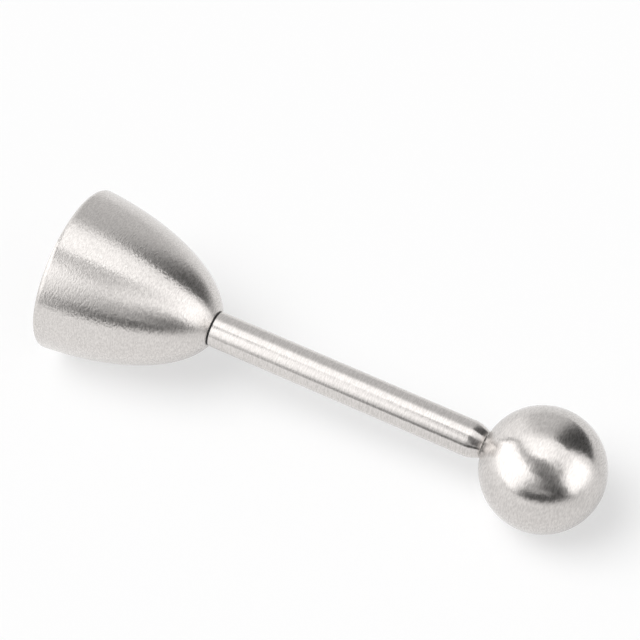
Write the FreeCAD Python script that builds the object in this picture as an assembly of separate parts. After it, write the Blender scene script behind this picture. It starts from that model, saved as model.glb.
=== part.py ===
import FreeCAD, Part

import math
import os

# Egg topper: a bell-shaped steel cup on a slim tube, with a hollow steel ball at the
# far end.  The ball is fixed to a rod that runs down the tube to a hammer.  Pulling the
# ball draws the hammer back against a spring; letting go drives it onto the anvil under
# the bell, and the bell's rim cracks a clean ring round the top of an egg.
#
# Every piece is drawn on the tool's own axis: x = 0 is the plane of the bell's rim and
# x grows towards the ball.  The last step lays the whole tool down on a table, where it
# rests on the bell's rim and on the ball, a little lower at the ball's end.
# All sizes are millimetres.

os.makedirs("parts", exist_ok=True)

# --- bell ---------------------------------------------------------------------------
bell_length = 39.0          # rim plane to the flat of the crown
bell_rim_radius = 20.9      # outside, at the rim plane; smaller than the middle of an egg
bell_overrun = 6.0          # the side is an oval that would be widest this far past the rim
bell_wall = 1.6
crown_thickness = 1.8
crown_land = 0.37           # flat of the crown that shows round the tube
crown_round = 0.8
rim_round = 1.25            # outside edge of the rim; a narrow flat is left beside it
rim_inner_round = 0.1

# --- handle tube --------------------------------------------------------------------
tube_radius = 4.5
tube_wall = 0.8
tube_length = 69.9
tube_edge_round = 0.1

# --- joint between bell and tube -----------------------------------------------------
gasket_thickness = 0.4
gasket_setback = 0.06       # how far the gasket lies below the tube's surface
screw_radius = 2.0          # M4
screw_length = 8.0
screw_head_radius = 3.8
screw_head_height = 2.2
screw_crown_round = 1.3     # rounding of the button head
socket_across_flats = 2.5
socket_depth = 1.4
screw_hole_clearance = 0.15
washer_radius = 4.4
washer_thickness = 0.8
lock_washer_radius = 3.7
lock_washer_thickness = 0.9
lock_washer_slit = 0.5
lock_washer_slant = 60.0    # degrees, slit against the washer's flat
anvil_length = 10.0
tapped_depth = 6.0

# --- spring and hammer in the tube -----------------------------------------------------
running_clearance = 0.08    # hammer in the bore of the tube, on the radius
face_clearance = 0.02       # between faces that part or turn on each other
hammer_length = 14.0
rod_in_hammer = 10.0
pin_radius = 0.75
pin_setback = 0.3           # each end of the pin below the hammer's surface
thrust_washer_thickness = 0.5
thrust_washer_clearance = 0.2
spring_wire = 0.7
spring_coils = 22
spring_side_clearance = 0.5  # outside of the spring to the bore, on the radius
seat_thickness = 0.8

# --- nose of the tube -------------------------------------------------------------------
# The end of the tube and the nose are turned to one cone, so the line where they meet
# lies on the cone.
nose_depth = 7.3            # length of the nose inside the tube
nose_show = 1.7             # length of the nose outside the tube
cone_length = 2.9
cone_blend = 2.5            # rounding between the straight tube and the cone
nose_end_radius = 3.4
nose_end_round = 0.15
seam_round = 0.05           # broken edges each side of the line
nose_lip = 1.2              # end wall that holds the bush
rod_radius = 1.5
rod_clearance = 0.3         # rod to the plain holes that it passes through
bush_wall = 0.9
bush_clearance = 0.04       # rod in its bush, on the radius

# --- ball -----------------------------------------------------------------------------
ball_radius = 15.25
ball_wall = 1.0
rest_gap = 0.3              # open line between nose and collar when the hammer is home
ball_flat_radius = 3.9      # small flat of the ball that faces the nose
collar_radius = 3.4
collar_stand = 0.06         # collar above the flat
collar_edge_round = 0.05
insert_flange = 1.1         # the insert's flange is this much wider than its collar
insert_flange_thickness = 2.0
insert_length = 10.0
rod_in_insert = 7.5

# --- places along the axis ---------------------------------------------------------------
crown_radius = tube_radius + crown_land
gasket_start = bell_length
tube_start = gasket_start + gasket_thickness
tube_end = tube_start + tube_length
nose_end = tube_end + nose_show
cone_start = nose_end - cone_length
tube_bore = tube_radius - tube_wall

crown_inside = bell_length - crown_thickness
washer_start = crown_inside - washer_thickness
lock_washer_start = washer_start - lock_washer_thickness
screw_head_start = lock_washer_start - screw_head_height
screw_end = lock_washer_start + screw_length

anvil_face = tube_start + anvil_length
hammer_start = anvil_face + face_clearance
hammer_end = hammer_start + hammer_length
thrust_start = hammer_end + face_clearance
thrust_end = thrust_start + thrust_washer_thickness
nose_start = tube_end - nose_depth
seat_start = nose_start - seat_thickness
bush_end = nose_end - nose_lip

collar_start = nose_end + rest_gap
flat_place = collar_start + collar_stand
ball_centre = flat_place + math.sqrt(ball_radius**2 - ball_flat_radius**2)
insert_end = collar_start + insert_length
rod_start = hammer_end - rod_in_hammer
rod_end = collar_start + rod_in_insert
pin_place = rod_start + rod_in_hammer / 2

hammer_radius = tube_bore - running_clearance
hole_radius = rod_radius + rod_clearance
bush_bore = rod_radius + bush_clearance
bush_radius = bush_bore + bush_wall
screw_hole = screw_radius + screw_hole_clearance

AXIS = FreeCAD.Vector(1, 0, 0)
ORIGIN = FreeCAD.Vector(0, 0, 0)


# --- the bell's oval ---------------------------------------------------------------------
# The oval has its middle on the axis, bell_overrun outside the rim plane.  Its two half
# axes follow from the two circles that it passes through: the rim and the crown.
def oval_half_axes():
    reach = bell_length + bell_overrun
    ratio = (bell_rim_radius**2 - crown_radius**2) / (reach**2 - bell_overrun**2)
    across = math.sqrt(bell_rim_radius**2 + ratio * bell_overrun**2)
    return across / math.sqrt(ratio), across


half_along, half_across = oval_half_axes()


def oval_radius(x, inset=0.0):
    """Radius of the oval at x, for the oval drawn inset all round."""
    share = (x + bell_overrun) / (half_along - inset)
    return (half_across - inset) * math.sqrt(1 - share**2)


def oval_slant(x):
    """Angle between the bell's side and the axis at x."""
    steepness = (half_across / half_along)**2 * (x + bell_overrun) / oval_radius(x)
    return math.atan(steepness)


def oval_edge(x_from, x_to, inset=0.0):
    """Stretch of the inset oval between two places on the axis."""
    middle = FreeCAD.Vector(-bell_overrun, 0, 0)
    end_along = middle + FreeCAD.Vector(half_along - inset, 0, 0)
    end_across = middle + FreeCAD.Vector(0, half_across - inset, 0)
    oval = Part.Ellipse(end_along, end_across, middle)
    first = oval.parameter(point(x_from, oval_radius(x_from, inset)))
    last = oval.parameter(point(x_to, oval_radius(x_to, inset)))
    return oval.toShape(min(first, last), max(first, last))


# --- drawing helpers -----------------------------------------------------------------------
def point(x, radius):
    return FreeCAD.Vector(x, radius, 0)


def line(start, end):
    return Part.LineSegment(point(*start), point(*end)).toShape()


def turned(edges):
    """Solid turned about the axis from the edges of a closed outline."""
    outline = Part.Wire(Part.__sortEdges__(edges))
    return Part.Face(outline).revolve(ORIGIN, AXIS, 360)


def lathe(outline):
    """Solid turned about the axis from the corners of its outline, each (x, radius)."""
    corners = [point(x, radius) for x, radius in outline]
    return Part.Face(Part.makePolygon(corners + corners[:1])).revolve(ORIGIN, AXIS, 360)


def ring(x_from, x_to, outside, inside):
    return lathe([(x_from, inside), (x_to, inside), (x_to, outside), (x_from, outside)])


def rod_shape(x_from, x_to, radius):
    return Part.makeCylinder(radius, x_to - x_from, point(x_from, 0), AXIS)


def circle_edges(solid, x, radius):
    """The round edges of a turned solid at one place and one radius."""
    found = []
    for edge in solid.Edges:
        curve = edge.Curve
        if isinstance(curve, Part.Circle) and math.isclose(curve.Radius, radius, abs_tol=1e-6):
            if math.isclose(curve.Center.x, x, abs_tol=1e-6):
                found.append(edge)
    return found


# --- bell and what holds it to the tube ------------------------------------------------------
def bell():
    inner_crown_radius = oval_radius(crown_inside, bell_wall)
    inner_rim_radius = oval_radius(0, bell_wall)
    shell = turned([
        oval_edge(0, bell_length),
        line((bell_length, crown_radius), (bell_length, screw_hole)),
        line((bell_length, screw_hole), (crown_inside, screw_hole)),
        line((crown_inside, screw_hole), (crown_inside, inner_crown_radius)),
        oval_edge(0, crown_inside, bell_wall),
        line((0, inner_rim_radius), (0, bell_rim_radius)),
    ])
    shell = shell.makeFillet(rim_inner_round, circle_edges(shell, 0, inner_rim_radius))
    shell = shell.makeFillet(rim_round, circle_edges(shell, 0, bell_rim_radius))
    return shell.makeFillet(crown_round, circle_edges(shell, bell_length, crown_radius))


def bell_gasket():
    return ring(gasket_start, tube_start, tube_radius - gasket_setback, screw_hole)


def bell_washer():
    return ring(washer_start, crown_inside, washer_radius, screw_hole)


def bell_lock_washer():
    """Spring washer: a ring with one slanted slit."""
    washer = ring(lock_washer_start, washer_start, lock_washer_radius, screw_hole)
    half_reach = 2 * lock_washer_thickness
    slit = Part.makeBox(2 * half_reach, lock_washer_radius, lock_washer_slit)
    middle = (lock_washer_start + washer_start) / 2
    slit.translate(FreeCAD.Vector(middle - half_reach, 0, -lock_washer_slit / 2))
    slit.rotate(point(middle, 0), FreeCAD.Vector(0, 1, 0), lock_washer_slant)
    return washer.cut(slit)


def bell_screw():
    """Button-head screw with a hexagon socket, head inside the bell."""
    head = rod_shape(screw_head_start, lock_washer_start, screw_head_radius)
    head = head.makeFillet(screw_crown_round, circle_edges(head, screw_head_start, screw_head_radius))
    shank = rod_shape(lock_washer_start, screw_end, screw_radius)
    corner_radius = socket_across_flats / math.sqrt(3)
    corners = []
    for turn in range(7):
        angle = math.radians(60 * turn)
        across = corner_radius * math.cos(angle)
        up = corner_radius * math.sin(angle)
        corners.append(FreeCAD.Vector(screw_head_start, across, up))
    socket = Part.Face(Part.makePolygon(corners)).extrude(AXIS * socket_depth)
    return head.fuse(shank).cut(socket).removeSplitter()


def anvil_plug():
    """Solid plug in the end of the tube, tapped for the bell's screw; its back is the anvil."""
    tapped_end = tube_start + tapped_depth
    return lathe([
        (tube_start, screw_radius),
        (tapped_end, screw_radius),
        (tapped_end + screw_radius / 2, 0),
        (anvil_face, 0),
        (anvil_face, tube_bore),
        (tube_start, tube_bore),
    ])


# --- handle tube and nose ------------------------------------------------------------------
def cone_radius(x):
    share = (x - cone_start) / cone_length
    return tube_radius + share * (nose_end_radius - tube_radius)


def handle_tube():
    tube = lathe([
        (tube_start, tube_bore),
        (tube_start, tube_radius),
        (cone_start, tube_radius),
        (tube_end, cone_radius(tube_end)),
        (tube_end, tube_bore),
    ])
    tube = tube.makeFillet(tube_edge_round, circle_edges(tube, tube_start, tube_radius))
    tube = tube.makeFillet(cone_blend, circle_edges(tube, cone_start, tube_radius))
    return tube.makeFillet(seam_round, circle_edges(tube, tube_end, cone_radius(tube_end)))


def tube_nose():
    """Turned nose: a sleeve pressed into the tube, and the rest of the cone."""
    nose = lathe([
        (nose_start, bush_radius),
        (bush_end, bush_radius),
        (bush_end, hole_radius),
        (nose_end, hole_radius),
        (nose_end, nose_end_radius),
        (tube_end, cone_radius(tube_end)),
        (tube_end, tube_bore),
        (nose_start, tube_bore),
    ])
    nose = nose.makeFillet(seam_round, circle_edges(nose, tube_end, cone_radius(tube_end)))
    return nose.makeFillet(nose_end_round, circle_edges(nose, nose_end, nose_end_radius))


def guide_bush():
    return ring(nose_start, bush_end, bush_radius, bush_bore)


def spring_seat():
    return ring(seat_start, nose_start, tube_bore, hole_radius)


# --- spring and hammer ------------------------------------------------------------------------
def spring():
    """Compression spring: round wire wound evenly between the seat and the thrust washer."""
    first = thrust_end + face_clearance + spring_wire / 2
    last = seat_start - spring_wire / 2
    coil_radius = tube_bore - spring_side_clearance - spring_wire / 2
    path = Part.makeHelix((last - first) / spring_coils, last - first, coil_radius)
    round_end = Part.makeCircle(
        spring_wire / 2, FreeCAD.Vector(coil_radius, 0, 0), FreeCAD.Vector(0, 1, 0)
    )
    wire = Part.Wire(path.Edges).makePipeShell([Part.Wire(round_end)], True, True)
    wire.rotate(ORIGIN, FreeCAD.Vector(0, 1, 0), 90)
    wire.translate(point(first, 0))
    return wire


def thrust_washer():
    return ring(thrust_start, thrust_end, tube_bore - thrust_washer_clearance, hole_radius)


def hammer_pin():
    length = 2 * (hammer_radius - pin_setback)
    return Part.makeCylinder(pin_radius, length, FreeCAD.Vector(pin_place, 0, -length / 2))


def striker_rod():
    return rod_shape(rod_start, rod_end, rod_radius).cut(hammer_pin())


def hammer():
    """Solid hammer, bored from behind for the rod and cross-drilled for its pin."""
    body = lathe([
        (hammer_start, 0),
        (rod_start, 0),
        (rod_start, rod_radius),
        (hammer_end, rod_radius),
        (hammer_end, hammer_radius),
        (hammer_start, hammer_radius),
    ])
    pin_hole = Part.makeCylinder(
        pin_radius, 4 * hammer_radius, FreeCAD.Vector(pin_place, 0, -2 * hammer_radius)
    )
    return body.cut(pin_hole)


# --- ball ---------------------------------------------------------------------------------
def ball_shell():
    middle = point(ball_centre, 0)
    hollow = Part.makeSphere(ball_radius - ball_wall, middle)
    shell = Part.makeSphere(ball_radius, middle).cut(hollow)
    return shell.cut(rod_shape(collar_start, ball_centre, collar_radius))


def ball_neck_half():
    """Half shell with the flat that faces the nose and the hole for the insert."""
    return ball_shell().common(rod_shape(flat_place, ball_centre, 2 * ball_radius))


def ball_end_half():
    return ball_shell().common(rod_shape(ball_centre, ball_centre + 2 * ball_radius, 2 * ball_radius))


def ball_insert():
    """Tapped insert: a collar through the shell, a flange behind it, and a neck for the rod."""
    flange_radius = collar_radius + insert_flange
    hollow_radius = ball_radius - ball_wall
    flange_end = ball_centre - math.sqrt(hollow_radius**2 - flange_radius**2) + insert_flange_thickness
    flange = rod_shape(collar_start, flange_end, flange_radius)
    flange = flange.common(Part.makeSphere(hollow_radius, point(ball_centre, 0)))
    body = rod_shape(collar_start, insert_end, collar_radius)
    body = body.makeFillet(collar_edge_round, circle_edges(body, collar_start, collar_radius))
    return body.fuse(flange).cut(rod_shape(collar_start, rod_end, rod_radius)).removeSplitter()


# --- laying the tool down ---------------------------------------------------------------------
# Tilted by the angle at which the rim's rounded edge and the ball touch one plane.  The
# rounding's middle runs round the axis at (foot_x, foot_radius).
def rest_placement():
    slant = oval_slant(rim_round)
    foot_x = rim_round
    foot_radius = oval_radius(rim_round * (1 + math.sin(slant))) - rim_round * math.cos(slant)
    span = ball_centre - foot_x
    lean = math.atan2(span, foot_radius)
    tilt = math.acos((ball_radius - rim_round) / math.hypot(span, foot_radius)) - lean
    low_x = foot_x * math.cos(tilt) - foot_radius * math.sin(tilt) - rim_round
    high_x = ball_centre * math.cos(tilt) + ball_radius
    lift = ball_centre * math.sin(tilt) + ball_radius
    shift = FreeCAD.Vector(-(low_x + high_x) / 2, 0, lift)
    print("tilt of the axis, degrees:", round(math.degrees(tilt), 4))
    print("rim centre:", tuple(round(value, 4) for value in shift))
    return FreeCAD.Placement(shift, FreeCAD.Rotation(FreeCAD.Vector(0, 1, 0), math.degrees(tilt)))


PIECES = {
    "bell": bell,
    "bell_gasket": bell_gasket,
    "bell_screw": bell_screw,
    "bell_lock_washer": bell_lock_washer,
    "bell_washer": bell_washer,
    "anvil_plug": anvil_plug,
    "handle_tube": handle_tube,
    "tube_nose": tube_nose,
    "guide_bush": guide_bush,
    "spring_seat": spring_seat,
    "spring": spring,
    "thrust_washer": thrust_washer,
    "striker_rod": striker_rod,
    "hammer": hammer,
    "hammer_pin": hammer_pin,
    "ball_insert": ball_insert,
    "ball_neck_half": ball_neck_half,
    "ball_end_half": ball_end_half,
}

placement = rest_placement()
for name, make in PIECES.items():
    piece = make()
    piece.Placement = placement.multiply(piece.Placement)
    piece.exportStep(f"parts/{name}.step")
    print(name, len(piece.Solids), round(piece.Volume, 3), piece.isValid())
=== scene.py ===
"""Egg topper in turned and brushed stainless steel, laid on a pale table.

The visible pieces are turned about the tool's own axis.  Each is a profile, a line of
points (distance along the axis, radius), carried round that axis in one full turn.
Sizes are in millimetres until a mesh is made, and the places are those of the frame.
"""

import math

import bpy
import numpy as np
from mathutils import Matrix


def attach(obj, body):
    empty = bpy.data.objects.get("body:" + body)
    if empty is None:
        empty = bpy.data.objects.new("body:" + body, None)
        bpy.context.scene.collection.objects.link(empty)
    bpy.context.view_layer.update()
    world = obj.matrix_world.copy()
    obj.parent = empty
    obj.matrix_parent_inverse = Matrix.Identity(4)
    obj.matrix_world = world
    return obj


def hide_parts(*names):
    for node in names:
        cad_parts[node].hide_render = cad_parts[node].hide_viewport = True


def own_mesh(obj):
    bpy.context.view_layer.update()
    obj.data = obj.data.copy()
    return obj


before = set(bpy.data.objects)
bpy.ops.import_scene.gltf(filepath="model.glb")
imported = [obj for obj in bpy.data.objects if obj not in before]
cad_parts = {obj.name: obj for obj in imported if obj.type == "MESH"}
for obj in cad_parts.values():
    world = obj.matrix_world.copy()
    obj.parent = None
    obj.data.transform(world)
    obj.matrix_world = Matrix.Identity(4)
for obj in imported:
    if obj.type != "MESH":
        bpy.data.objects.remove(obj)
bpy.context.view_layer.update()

# --- sizes, in millimetres ------------------------------------------------------------------
BELL_LENGTH, RIM_RADIUS, CROWN_RADIUS = 39.0, 20.9, 4.87
OVERRUN, BELL_WALL, CROWN_THICKNESS = 6.0, 1.6, 1.8
RIM_ROUND, RIM_INNER_ROUND, CROWN_ROUND = 1.25, 0.1, 0.8
SCREW_HOLE = 2.15
TUBE_START, TUBE_END, TUBE_RADIUS, TUBE_BORE = 39.4, 109.3, 4.5, 3.7
NOSE_START, NOSE_END, NOSE_END_RADIUS = 102.0, 111.0, 3.4
TAPER_START, TAPER_BOW, NOSE_LIP = 107.3, 1.6, 1.2
TUBE_EDGE, SEAM_EDGE, NOSE_EDGE, HOLE_EDGE, FLAT_EDGE = 0.1, 0.02, 0.15, 0.1, 0.04
BUSH_RADIUS, NOSE_HOLE = 2.44, 1.8
BALL_CENTRE, BALL_RADIUS, BALL_WALL = 126.103, 15.25, 1.0
BALL_FLAT, BALL_FLAT_RADIUS, COLLAR_RADIUS = 111.36, 3.9, 3.4
SPRING_START, SPRING_END, SPRING_COILS = 63.96, 101.2, 22
SPRING_WIRE, SPRING_RADIUS = 0.35, 2.85
# Metres in a millimetre and in a micrometre, and the millimetres in one unit of a map's U.
MM, MICROMETRE, RUN_UNIT = 1e-3, 1e-6, 100
TINY = 1e-6
SHARP_ANGLE = math.radians(30)
WHITE = (1, 1, 1, 1)

# --- the tool's own axes in the frame -------------------------------------------------------
TILT = math.radians(2.5454)
RIM_CENTRE = np.array([-70.1792, 0.0, 20.8504])
AXIS = np.array([math.cos(TILT), 0.0, -math.sin(TILT)])
SIDE = np.array([0.0, 1.0, 0.0])
UP = np.array([math.sin(TILT), 0.0, math.cos(TILT)])


def place(x, across=0.0, up=0.0):
    """Points of the frame, in metres: rim centre + x along the axis + across + up."""
    x, across, up = (np.asarray(value, float)[..., None] for value in (x, across, up))
    return (RIM_CENTRE + x * AXIS + across * SIDE + up * UP) * MM


# --- profiles ------------------------------------------------------------------------------
def straight(x_from, r_from, x_to, r_to, count=2):
    """Points evenly along a straight line."""
    return np.stack([np.linspace(x_from, x_to, count), np.linspace(r_from, r_to, count)], 1)


def arc(x, r, radius, start, end, count=10):
    """Points (x + radius sin a, r + radius cos a), for a from start to end in radians."""
    angle = np.linspace(start, end, count)
    return np.stack([x + radius * np.sin(angle), r + radius * np.cos(angle)], 1)


def oval(inset=0.0):
    """Half axes (along, across) of the bell's oval, which passes the rim and the crown."""
    ratio = (RIM_RADIUS**2 - CROWN_RADIUS**2) / ((BELL_LENGTH + OVERRUN)**2 - OVERRUN**2)
    across = math.sqrt(RIM_RADIUS**2 + ratio * OVERRUN**2)
    return across / math.sqrt(ratio) - inset, across - inset


def oval_line(x, inset=0.0):
    """Points (x, across sqrt(1 - ((x + overrun) / along)^2)) of the oval."""
    along, across = oval(inset)
    return np.stack([x, across * np.sqrt(1 - ((x + OVERRUN) / along)**2)], 1)


def oval_touch(middle, rounding, inward, inset=0.0):
    """Where a rounding with its middle at x = middle touches the oval from inside, or from
    outside if inward is -1: the x of the touch, the radius of the middle, and the slant.

    The oval's normal leans by the slant s, with tan s = (across / along)^2 (x + overrun) / r,
    so the place of touch x solves x = middle + inward rounding sin s, which settles in a
    few rounds.
    """
    along, across = oval(inset)
    x = middle
    for _ in range(12):
        r = float(oval_line(np.array([x]), inset)[0, 1])
        slant = math.atan((across / along)**2 * (x + OVERRUN) / r)
        x = middle + inward * rounding * math.sin(slant)
    return x, r - inward * rounding * math.cos(slant), slant


def bell_profile():
    """Outer oval and inner oval, joined by the rounded rim and the flat crown."""
    rim_x, rim_r, rim_slant = oval_touch(RIM_ROUND, RIM_ROUND, 1)
    top_x, top_r, top_slant = oval_touch(BELL_LENGTH - CROWN_ROUND, CROWN_ROUND, 1)
    in_x, in_r, in_slant = oval_touch(RIM_INNER_ROUND, RIM_INNER_ROUND, -1, BELL_WALL)
    inside = BELL_LENGTH - CROWN_THICKNESS
    quarter = math.pi / 2
    # closer together towards the crown, where the oval bends most
    outer_x = rim_x + (top_x - rim_x) * np.sin(np.linspace(0, quarter, 150))
    inner_x = in_x + (inside - in_x) * np.sin(np.linspace(quarter, 0, 80))
    return np.concatenate([
        arc(RIM_ROUND, rim_r, RIM_ROUND, -quarter, rim_slant, 24),
        oval_line(outer_x)[1:-1],
        arc(BELL_LENGTH - CROWN_ROUND, top_r, CROWN_ROUND, top_slant, quarter, 14),
        straight(BELL_LENGTH, SCREW_HOLE, inside, SCREW_HOLE),
        oval_line(inner_x, BELL_WALL)[:-1],
        arc(RIM_INNER_ROUND, in_r, RIM_INNER_ROUND, math.pi + in_slant, math.pi * 1.5, 6),
    ])


def taper_line(x):
    """Points of the bowed taper: the radius falls with the share of its length to the power
    TAPER_BOW, so that the taper leaves the tube without a corner."""
    share = (x - TAPER_START) / (NOSE_END - TAPER_START)
    return np.stack([x, TUBE_RADIUS - (TUBE_RADIUS - NOSE_END_RADIUS) * share**TAPER_BOW], 1)


def taper_slant(x):
    """Lean of the taper's normal at x."""
    share = (x - TAPER_START) / (NOSE_END - TAPER_START)
    fall = (TUBE_RADIUS - NOSE_END_RADIUS) / (NOSE_END - TAPER_START)
    return math.atan(TAPER_BOW * fall * share**(TAPER_BOW - 1))


def rounded_corner(x, r, before, after, radius, count=8):
    """Rounding of an outside corner at (x, r) between faces whose normals lean by the
    angles before and after.  Its middle lies back from the corner by
    radius / cos(half the turn), along the direction halfway between the two normals."""
    half = (after - before) / 2
    back = radius / math.cos(half)
    halfway = before + half
    middle = (x - back * math.sin(halfway), r - back * math.cos(halfway))
    return arc(*middle, radius, before, after, count)


def tube_profile():
    """Straight tube, bowed over into the start of the taper, with broken edges, and its bore."""
    quarter = math.pi / 2
    taper = taper_line(np.linspace(TAPER_START, TUBE_END, 16))
    return np.concatenate([
        rounded_corner(TUBE_START, TUBE_RADIUS, -quarter, 0, TUBE_EDGE),
        straight(TUBE_START + 2 * TUBE_EDGE, TUBE_RADIUS, TAPER_START - TUBE_EDGE, TUBE_RADIUS, 60),
        taper[:-1],
        rounded_corner(*taper[-1], taper_slant(TUBE_END), quarter, SEAM_EDGE),
        straight(TUBE_END, TUBE_BORE, TUBE_START, TUBE_BORE),
    ])


def nose_profile():
    """Rest of the taper, its end face with the hole for the rod, and the sleeve behind."""
    quarter = math.pi / 2
    taper = taper_line(np.linspace(TUBE_END, NOSE_END, 18))
    return np.concatenate([
        straight(NOSE_START, TUBE_BORE, TUBE_END, TUBE_BORE),
        rounded_corner(*taper[0], -quarter, taper_slant(TUBE_END), SEAM_EDGE),
        taper[1:-2],
        rounded_corner(*taper[-1], taper_slant(NOSE_END), quarter, NOSE_EDGE),
        rounded_corner(NOSE_END, NOSE_HOLE, quarter, math.pi, HOLE_EDGE),
        straight(NOSE_END - NOSE_LIP, NOSE_HOLE, NOSE_END - NOSE_LIP, BUSH_RADIUS),
        straight(NOSE_START, BUSH_RADIUS, NOSE_START, BUSH_RADIUS, 1),
    ])


def ball_profile():
    """Outer sphere and inner sphere, joined at the flat and hole that face the nose."""
    quarter = math.pi / 2
    flat_lean = -quarter + math.asin(BALL_FLAT_RADIUS / BALL_RADIUS)
    hollow = BALL_RADIUS - BALL_WALL
    hole_lean = -quarter + math.asin(COLLAR_RADIUS / hollow)
    outer = arc(BALL_CENTRE, 0, BALL_RADIUS, flat_lean, quarter, 190)
    inner = arc(BALL_CENTRE, 0, hollow, quarter, hole_lean, 60)
    return np.concatenate([
        inner,
        rounded_corner(BALL_FLAT, COLLAR_RADIUS, -math.pi, -quarter, FLAT_EDGE, 4),
        outer,
    ])


# --- meshes --------------------------------------------------------------------------------
def piece(name, points, faces, corners, body, material):
    """Mesh object with smooth faces, sharp only where two of them meet at SHARP_ANGLE or more."""
    mesh = bpy.data.meshes.new(name)
    mesh.from_pydata(points.tolist(), [], faces)
    layer = mesh.uv_layers.new(name="turning")
    layer.data.foreach_set("uv", np.asarray(corners, np.float32).ravel())
    mesh.polygons.foreach_set("use_smooth", np.ones(len(mesh.polygons), bool))
    mesh.set_sharp_from_angle(angle=SHARP_ANGLE)
    mesh.materials.append(material)
    thing = bpy.data.objects.new(name, mesh)
    bpy.context.scene.collection.objects.link(thing)
    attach(thing, body)
    return thing


def turned(name, profile, body, material, around=256):
    """Surface turned about the tool's axis.

    The point at profile step i and angle w is rim centre + x_i axis + r_i (side cos w +
    up sin w).  The profile runs so that the steel lies on its left; a profile that starts
    and ends on the axis is closed there by one point each, and any other is a ring whose
    last point joins its first.  The map's U is the distance along the profile in units of
    RUN_UNIT and its V is the share of the turn.
    """
    x, r = profile.T
    if np.sum(x * np.roll(r, -1) - np.roll(x, -1) * r) < 0:
        x, r = x[::-1], r[::-1]
    poles = r[0] < TINY and r[-1] < TINY
    if not poles:
        x, r = np.append(x, x[0]), np.append(r, r[0])
    steps = np.hypot(np.diff(x), np.diff(r))
    keep = np.concatenate([[True], steps > TINY])
    x, r = x[keep], r[keep]
    run = np.concatenate([[0], np.cumsum(np.hypot(np.diff(x), np.diff(r)))]) / RUN_UNIT
    rows = len(x)
    turn = np.arange(around) * 2 * math.pi / around
    points = place(x[:, None], r[:, None] * np.cos(turn), r[:, None] * np.sin(turn))
    number = np.arange(rows * around).reshape(rows, around)
    if poles:
        number[1:] -= around - 1
        number[0] = 0
        number[-1] = number[-2, -1] + 1
        points = np.concatenate([points[0, :1], points[1:-1].reshape(-1, 3), points[-1, :1]])
    else:
        number[-1] = number[0]
        points = points[:-1].reshape(-1, 3)
    number = np.concatenate([number, number[:, :1]], 1)
    share = np.arange(around + 1) / around
    u, v = np.broadcast_arrays(run[:, None], share[None, :])
    grid = np.stack([u, v], -1)

    def quads(table):
        return np.stack([table[:-1, :-1], table[1:, :-1], table[1:, 1:], table[:-1, 1:]], 2)

    index, corner = quads(number), quads(grid)
    if poles:
        first = index[0][:, [0, 1, 2]]
        first_uv = corner[0][:, [0, 1, 2]]
        last = index[-1][:, [0, 1, 3]]
        last_uv = corner[-1][:, [0, 1, 3]]
        first_uv[:, 0, 1] += 0.5 / around
        last_uv[:, 1, 1] += 0.5 / around
        faces = index[1:-1].reshape(-1, 4).tolist() + first.tolist() + last.tolist()
        corners = np.concatenate([
            corner[1:-1].reshape(-1, 2), first_uv.reshape(-1, 2), last_uv.reshape(-1, 2)
        ])
    else:
        faces = index.reshape(-1, 4).tolist()
        corners = corner.reshape(-1, 2)
    return piece(name, points, faces, corners, body, material)


def coil(name, body, material, steps=24, sides=12):
    """Round wire wound on the axis.

    Its middle line is x = start + pitch t and radius R at the angle 2 pi t, for t from 0
    to the number of coils.  The wire's section is a circle in the plane of the outward
    direction and of the third direction square to it and to the line.
    """
    t = np.linspace(0, SPRING_COILS, SPRING_COILS * steps + 1)
    first, last = SPRING_START + SPRING_WIRE, SPRING_END - SPRING_WIRE
    angle = 2 * math.pi * t
    line = place(first + (last - first) * t / SPRING_COILS,
                 SPRING_RADIUS * np.cos(angle), SPRING_RADIUS * np.sin(angle))
    outward = np.cos(angle)[:, None] * SIDE + np.sin(angle)[:, None] * UP
    ahead = np.gradient(line, axis=0)
    ahead /= np.linalg.norm(ahead, axis=1, keepdims=True)
    third = np.cross(ahead, outward)
    section = np.arange(sides) * 2 * math.pi / sides
    skin = (line[:, None] + SPRING_WIRE * MM * (np.cos(section)[None, :, None] * outward[:, None]
            + np.sin(section)[None, :, None] * third[:, None]))
    number = np.arange(len(t) * sides).reshape(len(t), sides)
    number = np.concatenate([number, number[:, :1]], 1)
    index = np.stack([number[:-1, :-1], number[1:, :-1], number[1:, 1:], number[:-1, 1:]], 2)
    faces = index.reshape(-1, 4)[:, ::-1].tolist()
    faces += [number[0, :-1].tolist(), number[-1, :-1][::-1].tolist()]
    corners = np.zeros((sum(len(face) for face in faces), 2))
    return piece(name, skin.reshape(-1, 3), faces, corners, body, material)


# --- materials -----------------------------------------------------------------------------
def linear(code):
    """Linear red, green, blue and alpha of an sRGB hex colour."""
    shares = [int(code[i:i + 2], 16) / 255 for i in (1, 3, 5)]
    return [s / 12.92 if s <= 0.04045 else ((s + 0.055) / 1.055)**2.4 for s in shares] + [1.0]


def add(tree, kind, inputs=(), **settings):
    """Adds a node with its settings.  Its inputs are given by name or number, or in their
    order; an input that is a socket is linked, and a value is set."""
    node = tree.nodes.new(kind)
    for key, value in settings.items():
        setattr(node, key, value)
    for key, value in (inputs if isinstance(inputs, dict) else dict(enumerate(inputs))).items():
        if isinstance(value, bpy.types.NodeSocket):
            tree.links.new(value, node.inputs[key])
        else:
            node.inputs[key].default_value = value
    return node


def between(value, start, end):
    """Inputs that turn the value start[0] into start[1] and end[0] into end[1]."""
    return {
        "Value": value,
        "From Min": start[0], "From Max": end[0],
        "To Min": start[1], "To Max": end[1],
    }


def new_material(name):
    material = bpy.data.materials.new(name)
    material.use_nodes = True
    material.node_tree.nodes.clear()
    return material, material.node_tree


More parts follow.
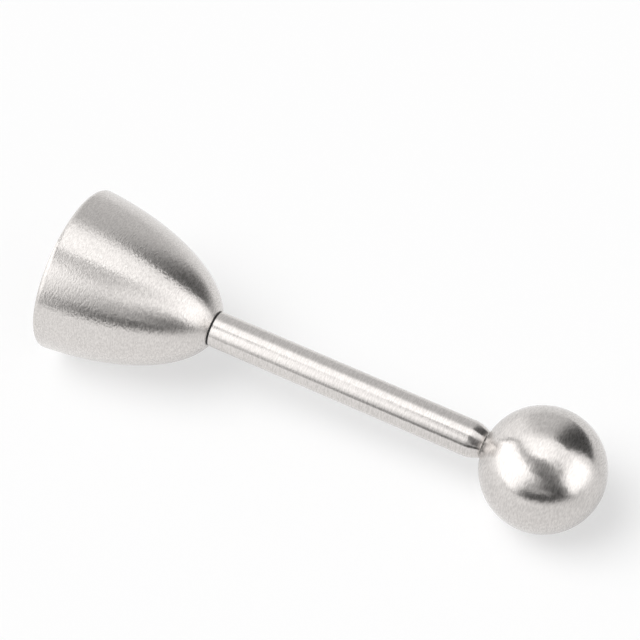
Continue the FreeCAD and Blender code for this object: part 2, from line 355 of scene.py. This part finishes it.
def tool_place(tree):
    """Separate X, Y, Z of the tool's own axes, in millimetres, from Object coordinates."""
    coordinates = add(tree, "ShaderNodeTexCoord")
    mapping = add(tree, "ShaderNodeMapping", {
        "Vector": coordinates.outputs["Object"],
        "Location": tuple(RIM_CENTRE * MM),
        "Rotation": (0.0, TILT, 0.0),
        "Scale": (MM, MM, MM),
    }, vector_type="TEXTURE")
    return add(tree, "ShaderNodeSeparateXYZ", {"Vector": mapping.outputs["Vector"]})


# Levels of a noise texture: where it mostly ends, and where a mark's hollow and ridge begin.
NOISE_LOW, NOISE_HIGH = 0.3, 0.7
HOLLOW, RIDGE = 0.36, 0.66


def brushed_steel(name, colour, roughness, anisotropy, pitch, streak, height, shade, dull, least, most):
    """Stainless steel with fine marks that run round the tool's axis.

    pitch is the spacing of the marks along the profile and streak their length round the
    axis, in millimetres; height is the depth of their relief in micrometres.  The colour is
    darker by the share shade in the hollows and as much lighter on the ridges.  Steel of
    the given roughness is mixed with duller steel of the roughness dull, whose share goes
    from least in the hollows to most on the ridges.  Real marks are some hundredths of a
    millimetre wide; these are drawn coarser, so that they show as the fine sparkle of the
    finish.
    """
    material, tree = new_material(name)
    spot = tool_place(tree)
    uv = add(tree, "ShaderNodeUVMap", uv_map="turning")
    run = add(tree, "ShaderNodeSeparateXYZ", {"Vector": uv.outputs["UV"]}).outputs["X"]
    along = add(tree, "ShaderNodeMath", (run, RUN_UNIT / pitch), operation="MULTIPLY")
    across = add(tree, "ShaderNodeMath", (spot.outputs["Y"], streak), operation="DIVIDE")
    upward = add(tree, "ShaderNodeMath", (spot.outputs["Z"], streak), operation="DIVIDE")
    vector = add(tree, "ShaderNodeCombineXYZ", [part.outputs[0] for part in (along, across, upward)])
    marks = add(tree, "ShaderNodeTexNoise", {
        "Vector": vector.outputs[0], "Scale": 1.0, "Detail": 1.0, "Roughness": 0.6,
    }).outputs["Fac"]
    share = add(tree, "ShaderNodeMapRange", between(marks, (HOLLOW, least), (RIDGE, most)))
    tone = add(tree, "ShaderNodeMapRange",
               between(marks, (NOISE_LOW, 1 - shade), (NOISE_HIGH, 1 + shade)))
    base = add(tree, "ShaderNodeMix", {0: 1.0, 6: linear(colour), 7: tone.outputs["Result"]},
               data_type="RGBA", blend_type="MULTIPLY")
    bump = add(tree, "ShaderNodeBump", {
        "Strength": 1.0, "Distance": height * MICROMETRE, "Height": marks,
    })
    tangent = add(tree, "ShaderNodeTangent", direction_type="UV_MAP", uv_map="turning")
    bright_and_dull = [add(tree, "ShaderNodeBsdfPrincipled", {
        "Base Color": base.outputs[2],
        "Metallic": 1.0,
        "Roughness": spread,
        "Anisotropic": anisotropy,
        "Normal": bump.outputs["Normal"],
        "Tangent": tangent.outputs["Tangent"],
    }).outputs["BSDF"] for spread in (roughness, dull)]
    steel = add(tree, "ShaderNodeMixShader", (share.outputs["Result"], *bright_and_dull))
    add(tree, "ShaderNodeOutputMaterial", {"Surface": steel.outputs[0]})
    return material


def even_grain(name, colour, roughness, grain, height, metallic=1.0, swing=0.2, detail=2.0):
    """Plain surface whose grain runs in no particular direction.

    grain is its size in millimetres and height its depth in micrometres; the roughness
    rises and falls with it by the share swing.
    """
    material, tree = new_material(name)
    coordinates = add(tree, "ShaderNodeTexCoord")
    noise = add(tree, "ShaderNodeTexNoise", {
        "Vector": coordinates.outputs["Object"], "Scale": 1 / (grain * MM), "Detail": detail,
    }).outputs["Fac"]
    rough = add(tree, "ShaderNodeMapRange", between(
        noise, (NOISE_LOW, roughness * (1 - swing)), (NOISE_HIGH, roughness * (1 + swing))))
    bump = add(tree, "ShaderNodeBump", {
        "Strength": 1.0, "Distance": height * MICROMETRE, "Height": noise,
    })
    body = add(tree, "ShaderNodeBsdfPrincipled", {
        "Base Color": linear(colour), "Metallic": metallic,
        "Roughness": rough.outputs["Result"], "Normal": bump.outputs["Normal"],
    })
    add(tree, "ShaderNodeOutputMaterial", {"Surface": body.outputs["BSDF"]})
    return material


STAINLESS = "#D2CECB"
# Spun cup, brushed on the lathe: reflections are drawn out along the tool and stay narrow
# round it, and the marks break their edges up into a satin sparkle.
bell_steel = brushed_steel(
    "stainless_steel_satin_brushed_bell", STAINLESS, roughness=0.205, anisotropy=0.96,
    pitch=0.33, streak=0.85, height=54.0, shade=0.12, dull=0.34, least=0.26, most=0.46)
# Drawn tube, finely turned: glossier, with thin bright and dark lines along it.
tube_steel = brushed_steel(
    "stainless_steel_fine_turned_tube", STAINLESS, roughness=0.155, anisotropy=0.84,
    pitch=0.32, streak=1.30, height=26.0, shade=0.09, dull=0.29, least=0.26, most=0.34)
# Pressed half shells, welded and brushed as one ball: soft spots of light with clear edges.
ball_steel = brushed_steel(
    "stainless_steel_brushed_ball", STAINLESS, roughness=0.170, anisotropy=0.84,
    pitch=0.34, streak=1.15, height=31.0, shade=0.12, dull=0.285, least=0.26, most=0.44)
# Cold-headed and stamped stainless steel: smooth and slightly dull.
fastener_steel = even_grain("stainless_steel_cold_headed_fastener", "#CCCAC6", 0.28, 0.3, 1.0)
# Drawn wire: darker, as it isn't polished after it is drawn.
spring_steel = even_grain("stainless_steel_drawn_spring_wire", "#B9B7B3", 0.3, 0.2, 1.0)
# Ground rod: nearly a mirror.
rod_steel = even_grain("stainless_steel_ground_rod", "#D4D2CF", 0.12, 0.2, 0.3)
# Cut from black nitrile sheet: matt, so the ring reads as a dark line between bright pieces.
rubber = even_grain("nitrile_rubber_black_washer", "#101011", 0.55, 0.25, 4.0,
                    metallic=0.0, swing=0.15, detail=3.0)
# Turned from natural acetal rod: milky white with a low sheen.
acetal = even_grain("acetal_turned_bush", "#E4E2DC", 0.4, 0.2, 3.0,
                    metallic=0.0, swing=0.15, detail=3.0)

CARRIED_OVER = {
    "bell_gasket": rubber,
    "bell_screw": fastener_steel,
    "bell_lock_washer": fastener_steel,
    "bell_washer": fastener_steel,
    "anvil_plug": fastener_steel,
    "guide_bush": acetal,
    "spring_seat": fastener_steel,
    "thrust_washer": fastener_steel,
    "striker_rod": rod_steel,
    "hammer": rod_steel,
    "hammer_pin": rod_steel,
    "ball_insert": rod_steel,
}
for node_name, node_material in CARRIED_OVER.items():
    for material_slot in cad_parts[node_name].material_slots:
        material_slot.material = node_material

# --- pieces --------------------------------------------------------------------------------
bell = turned("bell_shell", bell_profile(), "handle", bell_steel)
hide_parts("bell")
tube = turned("handle_tube_skin", tube_profile(), "handle", tube_steel)
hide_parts("handle_tube")
nose = turned("tube_nose_cone", nose_profile(), "handle", tube_steel)
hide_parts("tube_nose")
ball = turned("ball_shell", ball_profile(), "striker", ball_steel)
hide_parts("ball_neck_half", "ball_end_half")
wire = coil("spring_coil", "handle", spring_steel)
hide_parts("spring")
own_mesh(wire)


# --- table ---------------------------------------------------------------------------------
def facing(turn, rise, roll=0.0):
    """Directions away from the tool, across and up of a card that the tool sees there.

    The turn is measured from +Y towards +X and the rise from the table, in degrees.
    """
    turn, rise, roll = (math.radians(angle) for angle in (turn, rise, roll))
    away = np.array([
        math.sin(turn) * math.cos(rise), math.cos(turn) * math.cos(rise), math.sin(rise)])
    across = np.array([math.cos(turn), -math.sin(turn), 0.0])
    upward = np.cross(across, away)
    turned_across = across * math.cos(roll) + upward * math.sin(roll)
    return away, turned_across, upward * math.cos(roll) - across * math.sin(roll)


# Lengths on the table are in metres from its middle.  Each pair holds a length and the
# brightness of the table there.
TABLE_HALF = 4.0
LAMP_TURN, LAMP_RISE = -120, 60
FRONT_TURN = 155
NEAR_TOOL, OUT_WHITE = (0.2, 0.66), (0.7, 1.0)
UNDER_TOOL, BESIDE_TOOL = (0.0, 0.84), (0.030, 1.0)
# The last two pairs paint light and shade on the table as the steel sees it: painted light towards the
# lamp, painted shade away from it and out in front.
AWAY_FROM_LAMP_PAINTED_SHADE, TOWARDS_LAMP_PAINTED_LIGHT = (-0.11, 0.84), (0.09, 1.15)
FRONT_BRIGHT, FRONT_PAINTED_SHADE = (0.11, 1.0), (0.36, 0.4)


def table_material():
    """Matt white board, mostly hidden by white card to the camera and to the steel.

    The card keeps the shadows light.  Its share grows with the distance from the middle of
    the table until it is all white, and is a little less under the tool's line, where the
    shadow is deepest.  To the steel the card shows painted light and shade: it is painted
    brighter towards the lamp, and painted darker on the other side and out in front.
    """
    material, tree = new_material("matt_white_table")
    spot = add(tree, "ShaderNodeTexCoord").outputs["Object"]
    distance = add(tree, "ShaderNodeVectorMath", (spot,), operation="LENGTH").outputs["Value"]
    outward = add(tree, "ShaderNodeMapRange", between(distance, NEAR_TOOL, OUT_WHITE),
                  interpolation_type="SMOOTHSTEP").outputs["Result"]
    side = add(tree, "ShaderNodeSeparateXYZ", (spot,)).outputs["Y"]
    beside = add(tree, "ShaderNodeMath", (side,), operation="ABSOLUTE").outputs[0]
    beside = add(tree, "ShaderNodeMapRange", between(beside, UNDER_TOOL, BESIDE_TOOL),
                 interpolation_type="SMOOTHSTEP").outputs["Result"]
    white = add(tree, "ShaderNodeMath", (outward, beside), operation="MULTIPLY").outputs[0]
    rays = add(tree, "ShaderNodeLightPath")
    seen = add(tree, "ShaderNodeMath", (rays.outputs["Is Camera Ray"], rays.outputs["Is Glossy Ray"]),
               operation="MAXIMUM").outputs[0]
    share = add(tree, "ShaderNodeMath", (white, seen), operation="MULTIPLY").outputs[0]
    # Painted light and shade on the table, seen only by the steel: brighter towards the lamp, darker
    # away from it and out in front.
    to_lamp, to_front = (
        add(tree, "ShaderNodeVectorMath", (spot, tuple(facing(turn, 0)[0])),
            operation="DOT_PRODUCT").outputs["Value"] for turn in (LAMP_TURN, FRONT_TURN))
    painted_lamp_side_light = add(tree, "ShaderNodeMapRange", between(to_lamp, AWAY_FROM_LAMP_PAINTED_SHADE, TOWARDS_LAMP_PAINTED_LIGHT))
    front = add(tree, "ShaderNodeMapRange", between(to_front, FRONT_BRIGHT, FRONT_PAINTED_SHADE),
                interpolation_type="SMOOTHSTEP")
    painted_light_and_shade = add(tree, "ShaderNodeMath", (painted_lamp_side_light.outputs["Result"], front.outputs["Result"]),
                    operation="MULTIPLY").outputs[0]
    # The camera sees the card plain white; the steel sees it with the painted light and shade.
    strength = add(tree, "ShaderNodeMix", {0: rays.outputs["Is Glossy Ray"], 2: 1.0, 3: painted_light_and_shade},
                   data_type="FLOAT").outputs[0]
    board = add(tree, "ShaderNodeBsdfDiffuse", {"Color": linear("#F4F4F4")})
    card_and_painted_light = add(tree, "ShaderNodeEmission", {"Color": WHITE, "Strength": strength})
    mix = add(tree, "ShaderNodeMixShader", (share, board.outputs[0], card_and_painted_light.outputs[0]))
    add(tree, "ShaderNodeOutputMaterial", {"Surface": mix.outputs[0]})
    return material


def table():
    """Square table top whose middle is the frame's origin."""
    corners = [(-1, -1), (1, -1), (1, 1), (-1, 1)]
    mesh = bpy.data.meshes.new("table")
    mesh.from_pydata([(x * TABLE_HALF, y * TABLE_HALF, 0) for x, y in corners], [], [(0, 1, 2, 3)])
    mesh.materials.append(table_material())
    thing = bpy.data.objects.new("table", mesh)
    bpy.context.scene.collection.objects.link(thing)


table()

# --- light ---------------------------------------------------------------------------------
# Cards and softboxes that stand round the tool: name, middle, the way from the tool towards
# it (azimuth and elevation, degrees), roll, half width, half height, softness of the side
# edges and of the upper and lower ones, and brightness.  Lengths are in millimetres.
CARDS = [
    ("wall_behind_softbox", (-2360, -90, 0), -147, 0, 0, 2095, 3385, 125, 150, 0.38),
    ("low_front_card", (40, -1200, 0), 177, 0, 0, 980, 395, 130, 200, 0.05),
    ("high_front_card", (100, -590, 1105), 164, 61, 7, 150, 300, 60, 60, 0.08),
    ("softbox_left", (-1420, -275, 580), -149, 0, 7, 1375, 770, 200, 105, 1.82),
    ("high_left_card", (165, -650, 730), -172, 54, 2, 55, 290, 55, 55, 0.0),
    ("softbox_right", (1085, -65, 0), 78, 0, 0, 490, 860, 130, 65, 1.87),
    ("front_right_card", (740, -585, 0), 137, 0, 0, 250, 385, 85, 55, 0.03),
    ("high_right_card", (445, -390, 565), 164, 41, -5, 290, 380, 55, 65, 0.08),
    ("front_card", (80, -735, 335), 154, 28, -1, 210, 115, 65, 110, 0.43),
    ("right_gap", (190, -120, 360), 117, 45, 0, 85, 80, 45, 50, 0.92),
    ("hood", (77, -80, 146), -177, 68, 0, 52, 36, 6, 12, 0.10),
    ("back_flag", (365, 470, 0), 13, 0, 0, 260, 985, 95, 100, 0.06),
    ("bell_card", (-16, -29, 63), 150, 48, 1, 28, 11, 11, 22, 1.42),
]


def soft_edge(tree, value, edge, soft):
    """0 below edge - soft and 1 above edge + soft, with a smooth rise between."""
    return add(tree, "ShaderNodeMapRange", between(value, (edge - soft, 0.0), (edge + soft, 1.0)),
               interpolation_type="SMOOTHSTEP").outputs["Result"]


def card(name, middle, turn, rise, roll, half_width, half_height, soft_side, soft_end, brightness):
    """Flat card of even brightness that fades out at its edges.

    Only reflections see it.  Its map holds the millimetres from its middle.
    """
    _, across, upward = facing(turn, rise, roll)
    wide, high = half_width + soft_side, half_height + soft_end
    corners = [(-wide, -high), (wide, -high), (wide, high), (-wide, high)]
    points = [(np.array(middle) + a * across + b * upward) * MM for a, b in corners]
    mesh = bpy.data.meshes.new(name)
    mesh.from_pydata([point.tolist() for point in points], [], [(0, 1, 2, 3)])
    mesh.uv_layers.new(name="card").data.foreach_set("uv", np.array(corners, np.float32).ravel())
    material, tree = new_material(name)
    spot = add(tree, "ShaderNodeSeparateXYZ",
               {"Vector": add(tree, "ShaderNodeUVMap", uv_map="card").outputs["UV"]})
    inside = []
    for axis, half, soft in (("X", half_width, soft_side), ("Y", half_height, soft_end)):
        outward = add(tree, "ShaderNodeMath", (spot.outputs[axis],), operation="ABSOLUTE").outputs[0]
        inward = add(tree, "ShaderNodeMath", (float(half), outward), operation="SUBTRACT").outputs[0]
        inside.append(soft_edge(tree, inward, 0.0, float(soft)))
    mask = add(tree, "ShaderNodeMath", inside, operation="MULTIPLY").outputs[0]
    clear = add(tree, "ShaderNodeBsdfTransparent")
    glow = add(tree, "ShaderNodeEmission", {"Color": WHITE, "Strength": brightness})
    mix = add(tree, "ShaderNodeMixShader", (mask, clear.outputs[0], glow.outputs[0]))
    add(tree, "ShaderNodeOutputMaterial", {"Surface": mix.outputs[0]})
    mesh.materials.append(material)
    thing = bpy.data.objects.new(name, mesh)
    bpy.context.scene.collection.objects.link(thing)
    thing.visible_camera = thing.visible_diffuse = thing.visible_shadow = False
    thing.visible_transmission = thing.visible_volume_scatter = False


for values in CARDS:
    card(*values)

# Panels of the room beyond the cards: name, the middle's azimuth and elevation in degrees,
# then left, right, lower and upper edge and the softness of the side edges and of the others
# on a plane one unit away, and the brightness.  The rest of the room has an even level.
ROOM_LIGHT = 1.20
WALLS = [
    ("ceiling", 0, 90, -0.97, 0.26, -0.41, 0.93, 0.10, 0.22, 1.54),
    ("back_wall", -17, 20, -0.45, 0.52, -0.70, 0.85, 0.15, 0.42, 0.74),
]
# What the table and the plastics are lit by: even light, and one large soft lamp.
EVEN_LIGHT = 0.36
LAMP = [("lamp", LAMP_TURN, LAMP_RISE, -0.35, 0.35, -0.35, 0.35, 0.2, 0.2, 6.5)]
# A direction counts as ahead of a panel above this cosine.
AHEAD, AHEAD_SOFT, LEAST_AHEAD = 0.02, 0.005, 0.001


def sky(tree, direction, level, panels):
    """Background of an even level with soft-edged panels of other brightness over it."""
    light = level
    for name, turn, rise, left, right, low, high, soft_side, soft_end, brightness in panels:
        away, across, upward = (
            add(tree, "ShaderNodeVectorMath", (direction, tuple(way)),
                operation="DOT_PRODUCT").outputs["Value"] for way in facing(turn, rise))
        depth = add(tree, "ShaderNodeMath", (away, LEAST_AHEAD), operation="MAXIMUM").outputs[0]
        mask = soft_edge(tree, away, AHEAD, AHEAD_SOFT)
        for part, low_edge, high_edge, soft in (
                (across, left, right, soft_side), (upward, low, high, soft_end)):
            spot = add(tree, "ShaderNodeMath", (part, depth), operation="DIVIDE").outputs[0]
            below = add(tree, "ShaderNodeMath", (high_edge, spot), operation="SUBTRACT").outputs[0]
            for edge in (soft_edge(tree, spot, low_edge, soft), soft_edge(tree, below, 0.0, soft)):
                mask = add(tree, "ShaderNodeMath", (mask, edge), operation="MULTIPLY").outputs[0]
        light = add(tree, "ShaderNodeMix", {0: mask, 2: light, 3: brightness},
                    data_type="FLOAT", label=name).outputs[0]
    return add(tree, "ShaderNodeBackground", {"Color": WHITE, "Strength": light}).outputs[0]


def studio_world():
    """World that is the studio to reflections, the lamp's light to everything matt, and
    white to the camera."""
    world = bpy.data.worlds.new("studio")
    world.use_nodes = True
    tree = world.node_tree
    tree.nodes.clear()
    direction = add(tree, "ShaderNodeTexCoord").outputs["Generated"]
    studio = sky(tree, direction, ROOM_LIGHT, WALLS)
    lamp = sky(tree, direction, EVEN_LIGHT, LAMP)
    backdrop = add(tree, "ShaderNodeBackground", {"Color": WHITE, "Strength": 1.0}).outputs[0]
    rays = add(tree, "ShaderNodeLightPath")
    light = add(tree, "ShaderNodeMixShader", (rays.outputs["Is Glossy Ray"], lamp, studio))
    shown = add(tree, "ShaderNodeMixShader",
                (rays.outputs["Is Camera Ray"], light.outputs[0], backdrop))
    add(tree, "ShaderNodeOutputWorld", {"Surface": shown.outputs[0]})
    return world


scene = bpy.context.scene
scene.world = studio_world()
scene.view_settings.view_transform = "Standard"

# --- camera --------------------------------------------------------------------------------
# Sensor, focal length and place in millimetres; turn, drop and roll in degrees.
SENSOR, FOCAL = 36.0, 153.3375
CAMERA_PLACE = (162.43, -334.78, 555.84)
CAMERA_TURN, CAMERA_DROP, CAMERA_ROLL = 26.245, 54.117, -0.14
lens = bpy.data.cameras.new("camera")
lens.sensor_width = SENSOR
lens.lens = FOCAL
lens.clip_start = 0.01
camera = bpy.data.objects.new("camera", lens)
camera.location = [value * MM for value in CAMERA_PLACE]
camera.rotation_euler = (
    Matrix.Rotation(math.radians(CAMERA_TURN), 3, "Z")
    @ Matrix.Rotation(math.radians(90 - CAMERA_DROP), 3, "X")
    @ Matrix.Rotation(math.radians(CAMERA_ROLL), 3, "Z")
).to_euler()
scene.collection.objects.link(camera)
scene.camera = camera
